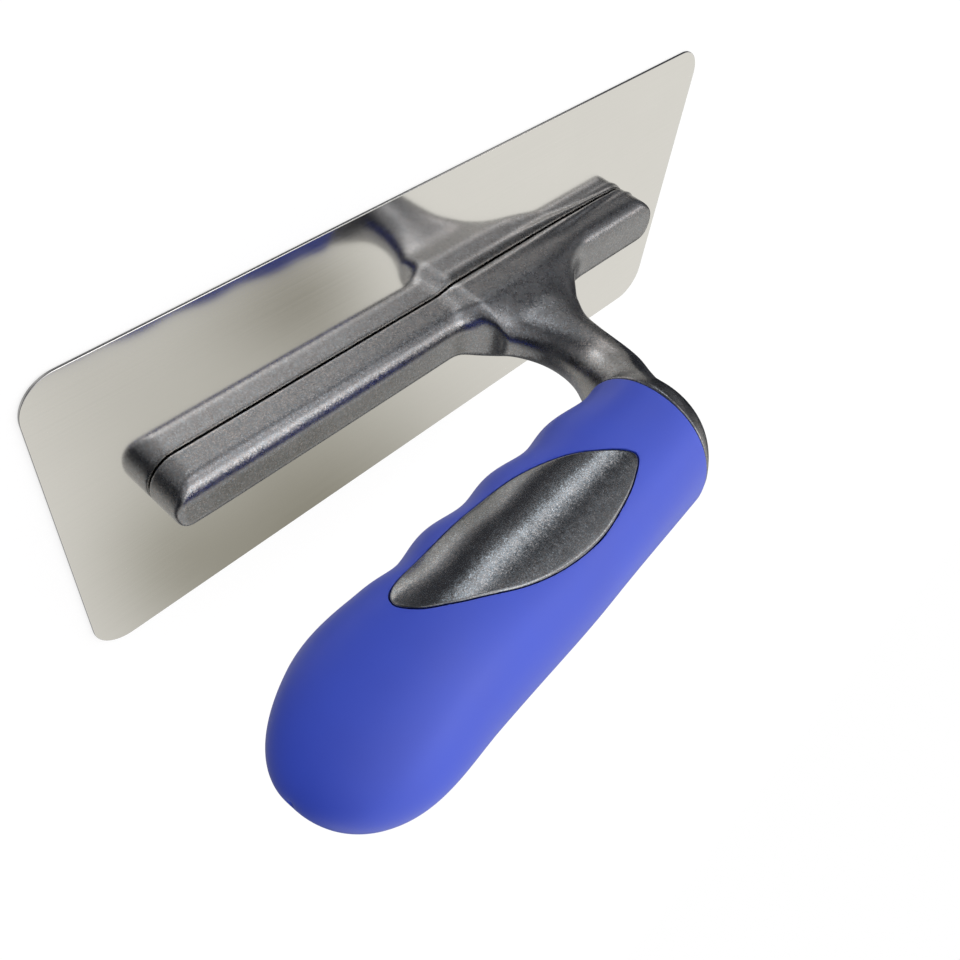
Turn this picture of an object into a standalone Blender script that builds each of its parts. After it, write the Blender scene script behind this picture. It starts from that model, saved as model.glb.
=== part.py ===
"""Steel finishing trowel: a thin stainless blade, a cast shank whose foot lies
along the blade, and a two-material hand grip carried above it.

Frame: metres, +Z up. The origin is the centre of the blade's working face
(its underside), +X runs towards the toe (the neck's end), +Y is one long edge
of the blade, and the trowel is symmetric about the plane Y = 0.
Dimensions below are in millimetres unless a name says otherwise.
"""
import math

import bmesh
import bpy
from mathutils import Vector

MM = 0.001
GAP = 0.3                     # clearance kept between neighbouring pieces

# ---------------------------------------------------------------- blade
BLADE_L, BLADE_W, BLADE_T = 240.0, 100.0, 0.8
BLADE_CORNER_R = 10.0

# ---------------------------------------------------------------- shank: foot
FOOT_Z0 = BLADE_T + GAP       # underside of the foot
FOOT_BUTT_X, FOOT_TOE_X = -96.6, 95.8
FOOT_HALF_W_BUTT, FOOT_HALF_W_TOE = 8.6, 9.4
FOOT_WIDENS_FROM, FOOT_WIDENS_OVER = 0.0, 60.0
FOOT_EDGE_R = 6.0             # rounding along the foot's two top edges
FOOT_END_R = 1.8              # smaller rounding where its upright ends meet the top
# height of the foot's top above the blade, along X
FOOT_TOP = [(-97, 12.1), (-86, 12.4), (-20, 12.4), (40, 12.2), (95, 12.3)]

# ---------------------------------------------------------------- shank: neck
# each row: inner point (x, z), outer point (x, z), half thickness, squareness
NECK = [
    ((-17.0, 4.4), (49.0, 4.4), 7.6, 4.0),
    (( -8.5, 8.4), (48.0, 8.4), 7.6, 4.0),
    (( -1.0, 12.9), (47.8, 13.1), 7.5, 3.6),
    ((  6.2, 18.6), (45.4, 18.9), 7.2, 3.0),
    (( 11.6, 24.9), (41.0, 24.6), 7.0, 2.7),
    (( 15.0, 31.8), (37.1, 31.0), 6.9, 2.5),
    (( 16.2, 38.2), (35.7, 37.6), 7.2, 2.4),
    (( 15.7, 43.9), (34.9, 44.0), 8.0, 2.3),
    (( 14.1, 48.3), (33.5, 50.4), 9.6, 2.25),
    (( 12.6, 50.8), (31.3, 57.2), 11.6, 2.1),
    (( 11.7, 52.0), (27.9, 64.3), 13.4, 1.95),
    (( 11.1, 52.7), (24.6, 72.0), 15.3, 1.85),
    (( 10.7, 53.1), (21.8, 80.0), 17.4, 1.85),
    (( 10.4, 53.3), (18.2, 88.6), 19.4, 1.98),
]                             # the last ring is the handle's own section
NECK_AROUND = 28
TANG_HALF_W, TANG_HALF_H = 5.5, 8.0
TANG_END_S = 112.0

# ---------------------------------------------------------------- weld studs
STUD_COUNT = 7
STUD_FIRST_X, STUD_LAST_X = -84.0, 78.0
STUD_R, STUD_H = 2.0, 6.0

# ---------------------------------------------------------------- handle
# straight axis from AXIS_ORIGIN, tilted up towards the butt; s runs along it
AXIS_ORIGIN = Vector((10.0, 0.0, 74.0 + BLADE_T))
AXIS_TILT = math.radians(4.5)
HANDLE_END_S = 133.0          # apex of the butt
HANDLE_ROUND_S, HANDLE_END_POWER = 48.0, 2.24      # rounding into the butt, side view
SIDE_ROUND_S, SIDE_END_POWER = 72.0, 2.1           # the same in plan
SECTION_POWER = 2.13
JOINT_S, LEAN_OVER = 0.2, 19.5    # grip's toe end, against the shank's cap
TOP_KNOTS = [(0, 20.2), (45, 21.4), (90, 24.0), (120, 33.5)]
SIDE_KNOTS = [(0, 20.3), (45, 18.3), (90, 19.2), (120, 19.0)]
UNDER_START, UNDER_SLOPE, UNDER_SWELL = 20.7, 0.03, 6.1
SWELL_FROM, SWELL_OVER = 78.0, 36.0
FINGER_DEPTH, FINGER_PITCH, FINGER_PHASE = 0.87, 24.6, 18.5
GRIP_WALL = 3.4
# side inlay outline in the handle's side view: (s along, w above the axis)
LEAF = [(20.2, 5.6), (27.5, -3.0), (35.0, -8.7), (45.5, -13.0), (56.0, -14.8),
        (72.5, -14.6), (88.0, -13.6), (92.6, -9.8), (90.6, -4.4), (85.5, 0.0),
        (79.5, 3.9), (69.5, 9.2), (58.5, 12.4), (46.5, 13.6), (36.0, 12.5),
        (26.0, 9.9)]

# ---------------------------------------------------------------- butt end
GATE_R, GATE_DEPTH = 1.6, 0.5     # moulding gate mark on the butt's apex

# ---------------------------------------------------------------- end screw
HEAD_R, HEAD_H = 2.8, 2.2
SCREW_R, SCREW_LEN = 1.75, 26.0
WASHER_R, WASHER_BORE_R, WASHER_T = 3.0, 2.05, 0.8
HEX_R, HEX_DEPTH = 1.45, 1.3


# ================================================================ helpers
def spline(knots):
    """Smooth function through (x, y) knots: cubic Hermite with averaged slopes."""
    xs = [k[0] for k in knots]
    ys = [k[1] for k in knots]
    n = len(xs)
    slope = []
    for i in range(n):
        lo, hi = max(0, i - 1), min(n - 1, i + 1)
        slope.append((ys[hi] - ys[lo]) / (xs[hi] - xs[lo]))

    def value(x):
        if x <= xs[0]:
            return ys[0] + slope[0] * (x - xs[0])
        if x >= xs[-1]:
            return ys[-1] + slope[-1] * (x - xs[-1])
        i = max(j for j in range(n - 1) if xs[j] <= x)
        h = xs[i + 1] - xs[i]
        t = (x - xs[i]) / h
        return (ys[i] * (1 + 2 * t) * (1 - t) ** 2 + slope[i] * h * t * (1 - t) ** 2
                + ys[i + 1] * t * t * (3 - 2 * t) + slope[i + 1] * h * t * t * (t - 1))
    return value


def smooth(t):
    t = min(1.0, max(0.0, t))
    return t * t * (3 - 2 * t)


def power(v, p):
    return math.copysign(abs(v) ** p, v)


def material(name, colour, roughness, metallic):
    mat = bpy.data.materials.new(name)
    mat.use_nodes = True
    shader = mat.node_tree.nodes["Principled BSDF"]
    shader.inputs["Base Color"].default_value = (*colour, 1.0)
    shader.inputs["Roughness"].default_value = roughness
    shader.inputs["Metallic"].default_value = metallic
    mat.diffuse_color = (*colour, 1.0)
    return mat


def new_object(name, bm, collection, mat=None, smooth_angle=40.0):
    bmesh.ops.recalc_face_normals(bm, faces=bm.faces)
    mesh = bpy.data.meshes.new(name)
    bm.to_mesh(mesh)
    bm.free()
    obj = bpy.data.objects.new(name, mesh)
    collection.objects.link(obj)
    if mat is not None:
        mesh.materials.append(mat)
        mesh.shade_smooth()
        mesh.set_sharp_from_angle(angle=math.radians(smooth_angle))
    return obj


def loft(rings, apex=None):
    """Closed body through rings of points (mm); both ends capped, or a point."""
    bm = bmesh.new()
    rows = [[bm.verts.new(Vector(p) * MM) for p in ring] for ring in rings]
    n = len(rows[0])
    for a, b in zip(rows, rows[1:]):
        for i in range(n):
            j = (i + 1) % n
            bm.faces.new((a[i], a[j], b[j], b[i]))
    bm.faces.new(list(reversed(rows[0])))
    if apex is None:
        bm.faces.new(rows[-1])
    else:
        tip = bm.verts.new(Vector(apex) * MM)
        last = rows[-1]
        for i in range(n):
            bm.faces.new((last[i], last[(i + 1) % n], tip))
    return bm


def cutter(obj):
    obj.hide_render = True
    obj.display_type = 'WIRE'
    return obj


def boolean(obj, tool, operation):
    mod = obj.modifiers.new(operation.title() + "_" + tool.name, 'BOOLEAN')
    mod.operation = operation
    mod.object = tool
    mod.solver = 'EXACT'
    return mod


def cylinder(radius, depth, centre, segments=24):
    """Cylinder along Z as a bmesh, in metres."""
    bm = bmesh.new()
    bmesh.ops.create_cone(bm, cap_ends=True, segments=segments, radius1=radius * MM,
                          radius2=radius * MM, depth=depth * MM)
    bmesh.ops.translate(bm, verts=bm.verts, vec=Vector(centre) * MM)
    return bm


# ================================================================ handle form
AXIS_U = Vector((-math.cos(AXIS_TILT), 0.0, math.sin(AXIS_TILT)))   # towards the butt
AXIS_W = Vector((math.sin(AXIS_TILT), 0.0, math.cos(AXIS_TILT)))    # away from the blade
AXIS_Y = Vector((0.0, 1.0, 0.0))
top_of = spline(TOP_KNOTS)
side_of = spline(SIDE_KNOTS)


def under_of(s, grooves):
    swell = UNDER_SWELL * smooth((s - SWELL_FROM) / SWELL_OVER)
    fade = smooth((s + 14) / 10) * smooth((94 - s) / 16)
    wave = FINGER_DEPTH * math.cos(2 * math.pi * (s - FINGER_PHASE) / FINGER_PITCH) * fade
    return UNDER_START + UNDER_SLOPE * s + swell + (wave if grooves else 0.0)


def rounding(s, start, end, p):
    e = min(1.0, max(0.0, (s - start) / (end - start)))
    return (1 - e ** p) ** (1 / p)


def lean(s, w):
    """Slides points along the axis so that the grip's toe end stands upright."""
    return w * math.tan(AXIS_TILT) * (1 - smooth((s - JOINT_S) / LEAN_OVER))


def handle_ring(s, inset, count, grooves=True):
    """One cross-section of the handle, or of the same form shrunk by inset."""
    end = HANDLE_END_S - inset
    tall = rounding(s, HANDLE_ROUND_S, end, HANDLE_END_POWER)
    wide = rounding(s, SIDE_ROUND_S, end, SIDE_END_POWER)
    over, under, side = top_of(s) - inset, under_of(s, grooves) - inset, side_of(s) - inset
    ring = []
    for i in range(count):
        a = 2 * math.pi * i / count
        y = side * power(math.sin(a), 2 / SECTION_POWER)
        w = power(math.cos(a), 2 / SECTION_POWER)
        w *= over if w > 0 else under
        w *= tall
        ring.append(AXIS_ORIGIN + AXIS_U * (s + lean(s, w)) + AXIS_W * w + AXIS_Y * (y * wide))
    return ring


def handle_body(inset, s_from, along, around, grooves=True):
    """The handle's outer form, or the same form shrunk by inset, as a closed body."""
    end = HANDLE_END_S - inset
    rings = []
    straight = max(2, int(along * 0.45))
    for i in range(straight):
        s = s_from + (HANDLE_ROUND_S - s_from) * i / straight
        rings.append(handle_ring(s, inset, around, grooves))
    curved = along - straight
    for i in range(curved):
        turn = 0.5 * math.pi * (i / curved) * 0.985
        s = HANDLE_ROUND_S + (end - HANDLE_ROUND_S) * math.sin(turn) ** (2 / HANDLE_END_POWER)
        rings.append(handle_ring(s, inset, around, grooves))
    return loft(rings, apex=AXIS_ORIGIN + AXIS_U * end)


def side_view_point(s, w, y):
    return AXIS_ORIGIN + AXIS_U * s + AXIS_W * w + AXIS_Y * y


def closed_curve(points, per_span):
    """Catmull-Rom curve through a closed list of 2D points."""
    out = []
    n = len(points)
    for i in range(n):
        p0, p1, p2, p3 = (points[(i + k) % n] for k in (-1, 0, 1, 2))
        for j in range(per_span):
            t = j / per_span
            out.append(tuple(
                0.5 * (2 * b + (c - a) * t + (2 * a - 5 * b + 4 * c - d) * t * t
                       + (3 * b - a - 3 * c + d) * t ** 3)
                for a, b, c, d in zip(p0, p1, p2, p3)))
    return out


def inset_outline(points, amount):
    """Move each point of a closed outline inwards along its normal."""
    n = len(points)
    area = sum(points[i][0] * points[(i + 1) % n][1] - points[(i + 1) % n][0] * points[i][1]
               for i in range(n))
    sign = 1.0 if area > 0 else -1.0
    out = []
    for i in range(n):
        (x0, y0), (x1, y1) = points[i - 1], points[(i + 1) % n]
        tx, ty = x1 - x0, y1 - y0
        length = math.hypot(tx, ty)
        out.append((points[i][0] - sign * ty / length * amount,
                    points[i][1] + sign * tx / length * amount))
    return out


def leaf_prism(amount, y_near, y_far):
    outline = inset_outline(closed_curve(LEAF, 3), amount)
    return loft([[side_view_point(s, w, y) for s, w in outline] for y in (y_near, y_far)])


# ================================================================ shank form
foot_top = spline(FOOT_TOP)


def foot_half_width(x):
    return (FOOT_HALF_W_BUTT + (FOOT_HALF_W_TOE - FOOT_HALF_W_BUTT)
            * smooth((x - FOOT_WIDENS_FROM) / FOOT_WIDENS_OVER))


def foot_outline(columns=20, turns=9):
    """Half of the foot's plan outline, butt tip to toe tip, on the +Y side.

    Each entry: point, outward normal, and how far it lies round an end (0 to 1)."""
    pts = []
    r, x0 = FOOT_HALF_W_BUTT, FOOT_BUTT_X + FOOT_HALF_W_BUTT
    for i in range(turns):                                 # round butt end
        a = 0.5 * math.pi * i / turns
        c, s = math.cos(a), math.sin(a)
        pts.append(((x0 - r * c, r * s), (-c, s), 1 - i / turns))
    r, x1 = FOOT_HALF_W_TOE, FOOT_TOE_X - FOOT_HALF_W_TOE
    for i in range(columns):                               # straight side
        x = x0 + (x1 - x0) * i / columns
        pts.append(((x, foot_half_width(x)), (0.0, 1.0), 0.0))
    for i in range(turns + 1):                             # round toe end
        a = 0.5 * math.pi * i / turns
        c, s = math.sin(a), (math.cos(a) if i < turns else 0.0)
        pts.append(((x1 + r * c, r * s), (c, s), i / turns))
    return pts


def edge_drop(x, y):
    """How far the foot's top has rounded off at y, measured down from its crown."""
    over = min(FOOT_EDGE_R, max(0.0, abs(y) - (foot_half_width(x) - FOOT_EDGE_R)))
    return FOOT_EDGE_R - math.sqrt(FOOT_EDGE_R ** 2 - over ** 2)


def foot_body():
    """Foot bar: rounded top edges along its length, upright round ends."""
    half = foot_outline()
    n = len(half)
    steps = 6
    bm = bmesh.new()
    rows = [[(x, y, FOOT_Z0) for (x, y), _, _ in half]]
    for k in range(steps):
        a = 0.5 * math.pi * k / (steps - 1)
        row = []
        for (x, y), (nx, ny), round_end in half:
            turn = smooth(2.0 * round_end)
            r = FOOT_EDGE_R + (FOOT_END_R - FOOT_EDGE_R) * turn
            inset = r * (1 - math.cos(a))
            px, py = x - nx * inset, y - ny * inset
            drop = edge_drop(x, py) + FOOT_END_R * turn * (1 - math.sin(a))
            row.append((px, py, foot_top(px) + BLADE_T - drop))
        rows.append(row)
    # the top, in from its edge to the middle plane
    for f in (0.66, 0.33):
        rows.append([(x, y * f, foot_top(x) + BLADE_T - edge_drop(x, y * f)) for x, y, z in rows[steps]])
    made = {}

    def vert(p):
        key = tuple(round(c, 5) for c in p)
        if key not in made:
            made[key] = bm.verts.new(Vector(p) * MM)
        return made[key]

    def face(*pts):
        vs = []
        for v in map(vert, pts):
            if v not in vs:
                vs.append(v)
        if len(vs) > 2:
            bm.faces.new(vs)

    middle = [(x, 0.0, foot_top(x) + BLADE_T) for x, y, z in rows[-1]]
    floor = [(x, 0.0, FOOT_Z0) for x, y, z in rows[0]]
    for sign in (1, -1):
        def side(p):
            return (p[0], p[1] * sign, p[2])
        chain = [floor] + rows + [middle]
        for lower, upper in zip(chain, chain[1:]):
            for i in range(n - 1):
                face(side(lower[i]), side(lower[i + 1]), side(upper[i + 1]), side(upper[i]))
    return bm


def neck_ring(inner, outer, half_t, squareness, count):
    ix, iz = inner
    ox, oz = outer
    ring = []
    for i in range(count):
        a = 2 * math.pi * i / count
        c = power(math.cos(a), 2 / squareness)
        y = half_t * power(math.sin(a), 2 / squareness)
        ring.append(Vector(((ix + ox) / 2 + (ox - ix) / 2 * c, y,
                            (iz + oz) / 2 + (oz - iz) / 2 * c + BLADE_T)))
    return ring


def axis_box(half_w, half_h, s_from, s_to, edge):
    """Bar along the handle's axis with chamfered long edges."""
    c = edge
    outline = [(half_w - c, half_h), (half_w, half_h - c), (half_w, c - half_h),
               (half_w - c, -half_h), (c - half_w, -half_h), (-half_w, c - half_h),
               (-half_w, half_h - c), (c - half_w, half_h)]
    return loft([[side_view_point(s, w, y) for y, w in outline] for s in (s_from, s_to)])


def on_axis(bm):
    """Turn a body built along +Z so that +Z points along the handle to the butt."""
    turn = AXIS_U.to_track_quat('Z', 'Y').to_matrix().to_4x4()
    bmesh.ops.transform(bm, matrix=turn, verts=bm.verts)
    bmesh.ops.translate(bm, verts=bm.verts, vec=AXIS_ORIGIN * MM)
    return bm


def on_axis_at(bm, s):
    bmesh.ops.translate(bm, verts=bm.verts, vec=Vector((0, 0, s)) * MM)
    return on_axis(bm)


def turned(name, profile, collection, mat, segments=24, ring=False):
    """Turned piece: (radius, height) profile from the top down, about Z."""
    mesh = bpy.data.meshes.new(name)
    edges = [(i, i + 1) for i in range(len(profile) - 1)]
    if ring:
        edges.append((len(profile) - 1, 0))
    mesh.from_pydata([(r * MM, 0.0, h * MM) for r, h in profile], edges, [])
    obj = bpy.data.objects.new(name, mesh)
    collection.objects.link(obj)
    mesh.materials.append(mat)
    screw = obj.modifiers.new("Turn", 'SCREW')
    screw.axis = 'Z'
    screw.steps = segments
    screw.render_steps = segments
    screw.use_merge_vertices = True
    screw.merge_threshold = 0.00001
    screw.use_smooth_shade = True
    return obj


# ================================================================ scene
for old in list(bpy.data.objects):
    bpy.data.objects.remove(old, do_unlink=True)

parts = bpy.data.collections.new("finishing_trowel")
tools = bpy.data.collections.new("cutters")
bpy.context.scene.collection.children.link(parts)
bpy.context.scene.collection.children.link(tools)

steel = material("stainless_steel", (0.72, 0.71, 0.69), 0.08, 1.0)
stud_steel = material("stud_steel", (0.55, 0.55, 0.54), 0.35, 1.0)
casting = material("gunmetal_casting", (0.07, 0.075, 0.085), 0.38, 0.9)
rubber = material("blue_rubber", (0.045, 0.075, 0.60), 0.55, 0.0)
plastic = material("core_plastic", (0.03, 0.03, 0.035), 0.5, 0.0)
zinc = material("zinc_plate", (0.62, 0.62, 0.60), 0.3, 1.0)

# ---- blade: thin plate with rounded corners
bm = bmesh.new()
bmesh.ops.create_cube(bm, size=1.0)
bmesh.ops.scale(bm, vec=Vector((BLADE_L, BLADE_W, BLADE_T)) * MM, verts=bm.verts)
bmesh.ops.translate(bm, vec=Vector((0, 0, BLADE_T / 2)) * MM, verts=bm.verts)
upright = [e for e in bm.edges
           if abs(e.verts[0].co.x - e.verts[1].co.x) < 1e-6
           and abs(e.verts[0].co.y - e.verts[1].co.y) < 1e-6]
bmesh.ops.bevel(bm, geom=upright, offset=BLADE_CORNER_R * MM, offset_type='OFFSET',
                segments=9, profile=0.5, affect='EDGES')
new_object("blade", bm, parts, steel)

# ---- weld studs, and the sockets that the foot drops over them
pitch = (STUD_LAST_X - STUD_FIRST_X) / (STUD_COUNT - 1)
stud_x = [STUD_FIRST_X + pitch * i for i in range(STUD_COUNT)]
for i, x in enumerate(stud_x, start=1):
    bm = cylinder(STUD_R, STUD_H, (x, 0, FOOT_Z0 + STUD_H / 2), 16)
    rim = [e for e in bm.edges if all(v.co.z > (FOOT_Z0 + STUD_H - 0.01) * MM for v in e.verts)]
    bmesh.ops.bevel(bm, geom=rim, offset=0.4 * MM, segments=1, profile=0.5, affect='EDGES')
    new_object("weld_stud_%d" % i, bm, parts, stud_steel)

# ---- shank: foot, neck and cap in one casting, with the tang inside the grip
shank = new_object("shank", foot_body(), parts, casting)
neck_rings = [neck_ring(*row, NECK_AROUND) for row in NECK]
neck_rings.append(handle_ring(JOINT_S - GAP, 0.0, NECK_AROUND))
neck = cutter(new_object("neck_form", loft(neck_rings), tools))
boolean(shank, neck, 'UNION')
tang = cutter(new_object("tang_form", axis_box(TANG_HALF_W, TANG_HALF_H, -6.0, TANG_END_S, 2.0), tools))
boolean(shank, tang, 'UNION')
for i, x in enumerate(stud_x, start=1):
    depth = STUD_H + GAP + 3.0
    socket = cutter(new_object("socket_form_%d" % i,
                               cylinder(STUD_R + GAP, depth, (x, 0, FOOT_Z0 + STUD_H + GAP - depth / 2), 16),
                               tools))
    boolean(shank, socket, 'DIFFERENCE')

# ---- grip: soft sleeve over the core, open at the toe, with a window each side
grip = new_object("grip", handle_body(0.0, JOINT_S, 40, 32), parts, rubber)
cavity = cutter(new_object("cavity_form", handle_body(GRIP_WALL, JOINT_S - 8.0, 22, 24, False), tools))
boolean(grip, cavity, 'DIFFERENCE')
head_seat_s = HANDLE_END_S - GRIP_WALL - GAP - 4.5       # where the washer rests
bm = bmesh.new()
bmesh.ops.create_uvsphere(bm, u_segments=16, v_segments=10, radius=GATE_R * MM)
gate = cutter(new_object("gate_form", on_axis_at(bm, HANDLE_END_S + GATE_R - GATE_DEPTH), tools))
boolean(grip, gate, 'DIFFERENCE')
for side, sign in (("near", 1), ("far", -1)):
    window = cutter(new_object("window_form_" + side, leaf_prism(0.0, sign * 4.0, sign * 40.0), tools))
    boolean(grip, window, 'DIFFERENCE')

# ---- side inlays: leaf-shaped, flush with the grip's surface
for side, sign in (("near", 1), ("far", -1)):
    inlay = new_object("inlay_" + side, handle_body(0.0, JOINT_S, 40, 32), parts, casting)
    boolean(inlay, cavity, 'DIFFERENCE')
    keep = cutter(new_object("leaf_form_" + side, leaf_prism(GAP, sign * 4.0, sign * 40.0), tools))
    boolean(inlay, keep, 'INTERSECT')

# ---- handle core: hard plastic, slotted for the tang, bored for the end screw
core = new_object("handle_core", handle_body(GRIP_WALL + GAP, JOINT_S, 20, 24, False), parts, plastic)
slot = cutter(new_object("tang_slot_form",
                         axis_box(TANG_HALF_W + GAP, TANG_HALF_H + GAP, -8.0, TANG_END_S + GAP, 2.0), tools))
boolean(core, slot, 'DIFFERENCE')
seat = cutter(new_object("seat_form",
                         on_axis(cylinder(WASHER_R + GAP, 20.0, (0, 0, head_seat_s + 10.0), 24)), tools))
boolean(core, seat, 'DIFFERENCE')
bore = cutter(new_object("screw_bore_form",
                         on_axis(cylinder(SCREW_R + GAP, 60.0, (0, 0, head_seat_s + 5.0 - 30.0), 20)), tools))
boolean(core, bore, 'DIFFERENCE')
screw_tip_s = head_seat_s + GAP + WASHER_T + GAP - SCREW_LEN
tap = cutter(new_object("tang_bore_form",
                        on_axis(cylinder(SCREW_R + GAP, 40.0, (0, 0, screw_tip_s - 1.0 + 20.0), 20)), tools))
boolean(shank, tap, 'DIFFERENCE')

# ---- washer and screw inside the butt end, under the sleeve
place = AXIS_U.to_track_quat('Z', 'Y')
washer = turned("end_washer", [(WASHER_BORE_R, 0.0), (WASHER_BORE_R, WASHER_T), (WASHER_R, WASHER_T),
                               (WASHER_R, 0.0)], parts, zinc, ring=True)
washer.rotation_mode = 'QUATERNION'
washer.rotation_quaternion = place
washer.location = (AXIS_ORIGIN + AXIS_U * (head_seat_s + GAP)) * MM

screw = turned("end_screw", [(0.0, HEAD_H), (HEAD_R * 0.72, HEAD_H - 0.15), (HEAD_R, HEAD_H - 0.9),
                             (HEAD_R, 0.0), (SCREW_R, 0.0), (SCREW_R, 1.6 - SCREW_LEN),
                             (0.5, -SCREW_LEN), (0.0, -SCREW_LEN)], parts, zinc)
screw.rotation_mode = 'QUATERNION'
screw.rotation_quaternion = place
screw.location = (AXIS_ORIGIN + AXIS_U * (head_seat_s + 2 * GAP + WASHER_T)) * MM
drive = cutter(new_object("hex_form", on_axis(cylinder(HEX_R, 4.0,
               (0, 0, head_seat_s + 2 * GAP + WASHER_T + HEAD_H - HEX_DEPTH + 2.0), 6)), tools))
boolean(screw, drive, 'DIFFERENCE')
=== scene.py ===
"""Steel finishing trowel: the visual model, its materials, the light and the camera.

Frame: metres, +Z up, origin at the centre of the blade's underside, +X towards
the toe, +Y the near long edge. Shapes below are worked out in millimetres.
"""
import math

import bmesh
import bpy
import numpy as np
from mathutils import Matrix, Vector


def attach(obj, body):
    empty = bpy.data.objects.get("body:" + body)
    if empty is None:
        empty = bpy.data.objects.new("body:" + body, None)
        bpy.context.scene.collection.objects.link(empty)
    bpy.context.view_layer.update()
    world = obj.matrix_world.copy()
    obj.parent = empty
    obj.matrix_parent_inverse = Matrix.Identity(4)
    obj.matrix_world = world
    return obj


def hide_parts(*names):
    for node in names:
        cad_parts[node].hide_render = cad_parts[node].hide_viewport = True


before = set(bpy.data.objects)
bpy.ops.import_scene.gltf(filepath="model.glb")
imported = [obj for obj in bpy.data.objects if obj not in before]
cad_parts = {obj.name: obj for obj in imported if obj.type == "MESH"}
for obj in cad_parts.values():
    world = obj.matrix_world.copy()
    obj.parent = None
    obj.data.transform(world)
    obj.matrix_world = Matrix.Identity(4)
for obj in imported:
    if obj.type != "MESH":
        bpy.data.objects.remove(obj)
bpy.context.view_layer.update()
MM = 0.001

# ------------------------------------------------------------------ dimensions
GAP = 0.3
BLADE_L, BLADE_W, BLADE_T, BLADE_CORNER_R = 240.0, 100.0, 0.8, 10.0
FOOT_Z0 = BLADE_T + GAP
FOOT_BUTT_X, FOOT_TOE_X = -96.6, 95.8
FOOT_HALF_W_BUTT, FOOT_HALF_W_TOE = 8.6, 9.4
FOOT_WIDENS_FROM, FOOT_WIDENS_OVER = 0.0, 60.0
FOOT_EDGE_R, FOOT_END_R = 6.0, 1.8
FOOT_TOP = [(-97, 12.1), (-86, 12.4), (-20, 12.4), (40, 12.2), (95, 12.3)]
NECK = [
    ((-17.0, 4.4), (49.0, 4.4), 7.6, 4.0),
    (( -8.5, 8.4), (48.0, 8.4), 7.6, 4.0),
    (( -1.0, 12.9), (47.8, 13.1), 7.5, 3.6),
    ((  6.2, 18.6), (45.4, 18.9), 7.2, 3.0),
    (( 11.6, 24.9), (41.0, 24.6), 7.0, 2.7),
    (( 15.0, 31.8), (37.1, 31.0), 6.9, 2.5),
    (( 16.2, 38.2), (35.7, 37.6), 7.2, 2.4),
    (( 15.7, 43.9), (34.9, 44.0), 8.0, 2.3),
    (( 14.1, 48.3), (33.5, 50.4), 9.6, 2.25),
    (( 12.6, 50.8), (31.3, 57.2), 11.6, 2.1),
    (( 11.7, 52.0), (27.9, 64.3), 13.4, 1.95),
    (( 11.1, 52.7), (24.6, 72.0), 15.3, 1.85),
    (( 10.7, 53.1), (21.8, 80.0), 17.4, 1.85),
    (( 10.4, 53.3), (18.2, 88.6), 19.4, 1.98),
]
FILLET_LOW, FILLET_HIGH = 9.0, 12.0
TANG_HALF_W, TANG_HALF_H, TANG_END_S = 5.5, 8.0, 112.0
STUD_COUNT, STUD_FIRST_X, STUD_LAST_X = 7, -84.0, 78.0
STUD_R, STUD_H = 2.0, 6.0
AXIS_ORIGIN = np.array([10.0, 0.0, 74.0 + BLADE_T])
AXIS_TILT = math.radians(4.5)
HANDLE_END_S = 133.0
HANDLE_ROUND_S, HANDLE_END_POWER = 48.0, 2.24
SIDE_ROUND_S, SIDE_END_POWER = 72.0, 2.1
SECTION_POWER = 2.13
JOINT_S, LEAN_OVER = 0.2, 19.5
TOP_KNOTS = [(0, 20.2), (45, 21.4), (90, 24.0), (120, 33.5)]
SIDE_KNOTS = [(0, 20.3), (45, 18.3), (90, 19.2), (120, 19.0)]
UNDER_START, UNDER_SLOPE, UNDER_SWELL = 20.7, 0.03, 6.1
SWELL_FROM, SWELL_OVER = 78.0, 36.0
FINGER_DEPTH, FINGER_PITCH, FINGER_PHASE = 0.87, 24.6, 18.5
GRIP_WALL = 3.4
LEAF = [(20.2, 5.6), (27.5, -3.0), (35.0, -8.7), (45.5, -13.0), (56.0, -14.8),
        (72.5, -14.6), (88.0, -13.6), (92.6, -9.8), (90.6, -4.4), (85.5, 0.0),
        (79.5, 3.9), (69.5, 9.2), (58.5, 12.4), (46.5, 13.6), (36.0, 12.5),
        (26.0, 9.9)]
SCREW_R, SCREW_LEN, WASHER_T = 1.75, 26.0, 0.8

AXIS_U = np.array([-math.cos(AXIS_TILT), 0.0, math.sin(AXIS_TILT)])
AXIS_W = np.array([math.sin(AXIS_TILT), 0.0, math.cos(AXIS_TILT)])
AXIS_Y = np.array([0.0, 1.0, 0.0])


# ------------------------------------------------------------------ helpers
def spline(knots):
    xs = np.array([k[0] for k in knots], float)
    ys = np.array([k[1] for k in knots], float)
    n = len(xs)
    slope = np.array([(ys[min(n - 1, i + 1)] - ys[max(0, i - 1)])
                      / (xs[min(n - 1, i + 1)] - xs[max(0, i - 1)]) for i in range(n)])

    def value(x):
        x = np.asarray(x, float)
        i = np.clip(np.searchsorted(xs, x, side="right") - 1, 0, n - 2)
        h = xs[i + 1] - xs[i]
        t = np.clip((x - xs[i]) / h, 0, 1)
        y = (ys[i] * (1 + 2 * t) * (1 - t) ** 2 + slope[i] * h * t * (1 - t) ** 2
             + ys[i + 1] * t * t * (3 - 2 * t) + slope[i + 1] * h * t * t * (t - 1))
        y = np.where(x < xs[0], ys[0] + slope[0] * (x - xs[0]), y)
        return np.where(x > xs[-1], ys[-1] + slope[-1] * (x - xs[-1]), y)
    return value


def smooth(t):
    t = np.clip(t, 0, 1)
    return t * t * (3 - 2 * t)


def power(v, p):
    return np.sign(v) * np.abs(v) ** p


top_of, side_of, foot_top = spline(TOP_KNOTS), spline(SIDE_KNOTS), spline(FOOT_TOP)


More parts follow.
